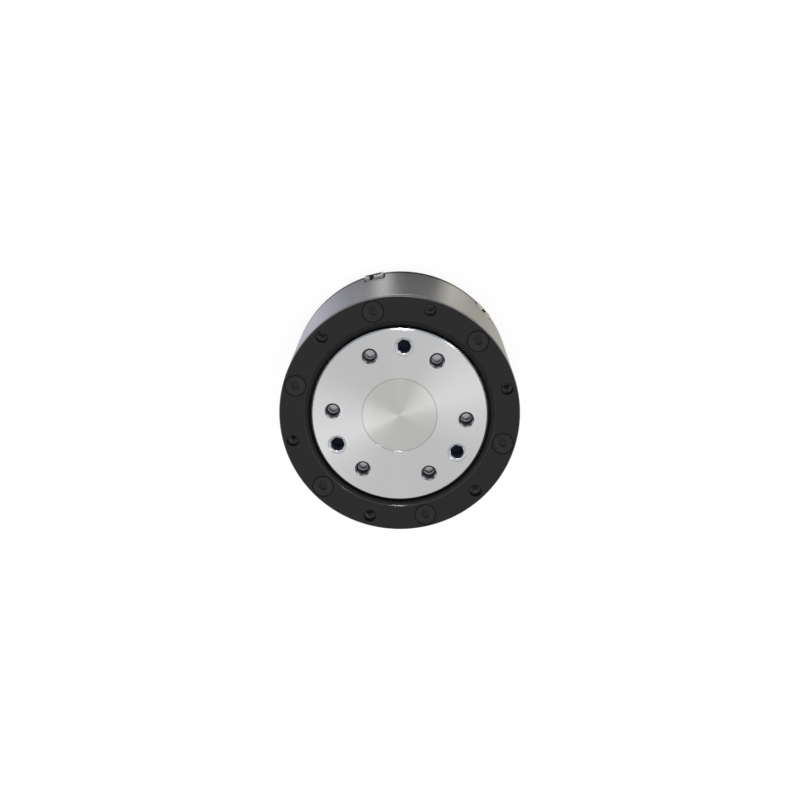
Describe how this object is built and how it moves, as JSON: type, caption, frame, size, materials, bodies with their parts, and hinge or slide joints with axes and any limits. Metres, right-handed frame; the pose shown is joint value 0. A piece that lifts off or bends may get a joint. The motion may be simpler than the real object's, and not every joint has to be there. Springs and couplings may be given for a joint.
{
  "type": "robot joint actuator",
  "caption": "Short round servo actuator: grooved rear cover, grey housing, black bolted front ring and a turned output flange that spins on a crossed-roller bearing.",
  "frame": {"origin": "centre of the flat rear face", "axes": "+Z along the output axis, out of the output flange; +Y towards the signal connector's side, the top as it is used"},
  "size_m": [0.09, 0.0908, 0.0624],
  "materials": {
    "anodised_grey": "satin anodised, grey",
    "anodised_black": "matte black hard anodised",
    "turned_aluminium": "bare turned aluminium",
    "cap_metal": "turned, slightly warmer",
    "black_steel": "black oxide",
    "bearing_steel": "ground bearing steel",
    "gear_steel": "hardened and ground",
    "bronze": "sintered bronze",
    "copper": "enamelled copper wire",
    "electrical_steel": "laminated stack",
    "magnet": "nickel plated",
    "board": "green solder mask",
    "chip": "black epoxy",
    "cream_plastic": "cream nylon",
    "tin": "tinned contacts",
    "rubber_black": "nitrile",
    "silicone": "thermal silicone"
  },
  "bodies": {
    "housing": {"housing": "anodised_grey", "front_ring": "anodised_black", "front_ring_screws": "black_steel", "dust_seal": "rubber_black", "main_bearing_outer_race": "bearing_steel", "main_bearing_rollers": "bearing_steel", "ring_gear": "gear_steel", "stator_core": "electrical_steel", "stator_windings": "copper", "motor_end_plate": "anodised_grey", "rear_bearing_outer_race": "bearing_steel", "front_bearing_outer_race": "bearing_steel", "driver_board": "board", "board_chips": "chip", "encoder_chip": "chip", "thermal_pad": "silicone", "signal_connector": "cream_plastic", "signal_contacts": "tin", "power_connector": "cream_plastic", "power_contacts": "tin", "rear_cover": "anodised_black", "rear_cover_screws": "black_steel", "phase_leads": "copper"},
    "output": {"output_flange": "turned_aluminium", "output_cap": "cap_metal", "main_bearing_inner_race": "bearing_steel", "carrier_plate": "gear_steel", "planet_pins": "gear_steel"},
    "rotor": {"sun_shaft": "gear_steel", "rotor_core": "electrical_steel", "rotor_magnets": "magnet", "rear_bearing_inner_race": "bearing_steel", "front_bearing_inner_race": "bearing_steel", "encoder_magnet": "magnet"},
    "planet_1": {"planet_gear_1": "gear_steel", "planet_bush_1": "bronze"},
    "planet_2": {"planet_gear_2": "gear_steel", "planet_bush_2": "bronze"},
    "planet_3": {"planet_gear_3": "gear_steel", "planet_bush_3": "bronze"}
  },
  "joints": [
    {"name": "output_spin", "type": "hinge", "parent": "housing", "child": "output", "pos_m": [0, 0, 0.055], "axis": [0, 0, 1], "continuous": true},
    {"name": "rotor_spin", "type": "hinge", "parent": "housing", "child": "rotor", "pos_m": [0, 0, 0.0234], "axis": [0, 0, 1], "continuous": true},
    {"name": "planet_1_spin", "type": "hinge", "parent": "output", "child": "planet_1", "pos_m": [0.00088, 0.01798, 0.0443], "axis": [0, 0, 1], "continuous": true},
    {"name": "planet_2_spin", "type": "hinge", "parent": "output", "child": "planet_2", "pos_m": [-0.01601, -0.00823, 0.0443], "axis": [0, 0, 1], "continuous": true},
    {"name": "planet_3_spin", "type": "hinge", "parent": "output", "child": "planet_3", "pos_m": [0.01513, -0.00975, 0.0443], "axis": [0, 0, 1], "continuous": true}
  ],
  "couplings": [
    {"joint": "rotor_spin", "follows": "output_spin", "ratio": 6},
    {"joint": "planet_1_spin", "follows": "output_spin", "ratio": -2.5},
    {"joint": "planet_2_spin", "follows": "output_spin", "ratio": -2.5},
    {"joint": "planet_3_spin", "follows": "output_spin", "ratio": -2.5}
  ]
}
